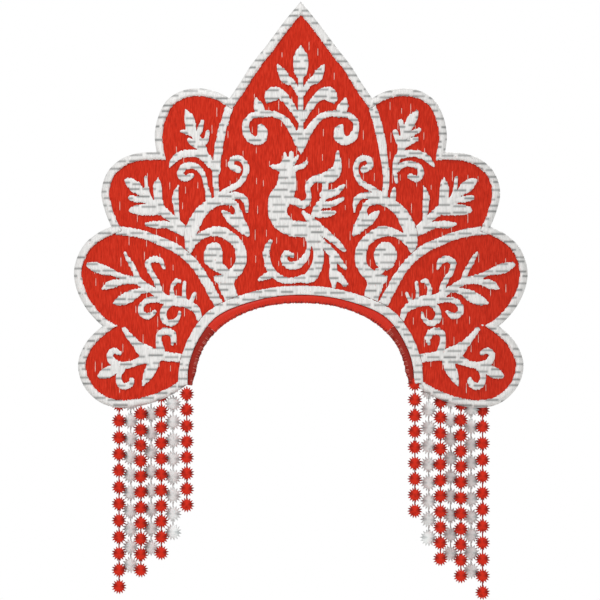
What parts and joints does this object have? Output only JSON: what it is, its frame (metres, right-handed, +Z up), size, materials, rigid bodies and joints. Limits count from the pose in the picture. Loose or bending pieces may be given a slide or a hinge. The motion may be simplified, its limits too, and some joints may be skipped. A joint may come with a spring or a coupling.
{
  "type": "kokoshnik headdress",
  "caption": "Scalloped pointed crown of red cloth on card with raised silver embroidery, a braided edge, padded brow rolls and hanging bead strings at the temples.",
  "frame": {"origin": "top of the brow arch on the centre line, at the board's front face, where the head bears", "axes": "+Z up, front towards -Y, +X towards the wearer's left"},
  "size_m": [0.318, 0.054, 0.4179],
  "materials": {
    "red_cloth": "red satin-stitched cloth over card",
    "silver_thread": "silver-white satin stitch and braid",
    "bright_satin": "bright red satin-wound padded roll",
    "dark_satin": "dark red satin-wound padded roll",
    "band_cloth": "plain red cotton over card",
    "red_glass": "opaque red fire-polished glass beads",
    "silver_glass": "silver-grey fire-polished glass beads"
  },
  "bodies": {
    "root": {"crown_board": "red_cloth", "edge_braid": "silver_thread", "arch_braid": "silver_thread", "brow_roll": "bright_satin", "temple_roll_left": "dark_satin", "temple_roll_right": "dark_satin", "head_band": "band_cloth", "palmette": "silver_thread", "firebird": "silver_thread", "lobe_rib_left": "silver_thread", "vine_left": "silver_thread", "mid_sprig_left": "silver_thread", "leaf_spray_left": "silver_thread", "low_spray_left": "silver_thread", "lobe_rib_right": "silver_thread", "vine_right": "silver_thread", "mid_sprig_right": "silver_thread", "leaf_spray_right": "silver_thread", "low_spray_right": "silver_thread", "upper_sprig_right": "silver_thread", "red_string_1_left": "red_glass", "red_string_1_right": "red_glass", "red_string_2_left": "red_glass", "red_string_2_right": "red_glass", "red_string_3_left": "red_glass", "red_string_3_right": "red_glass", "red_string_4_left": "red_glass", "red_string_4_right": "red_glass", "silver_string_1_left": "silver_glass", "silver_string_1_right": "silver_glass", "silver_string_2_left": "silver_glass", "silver_string_2_right": "silver_glass", "silver_string_3_left": "silver_glass", "silver_string_3_right": "silver_glass"}
  },
  "joints": []
}
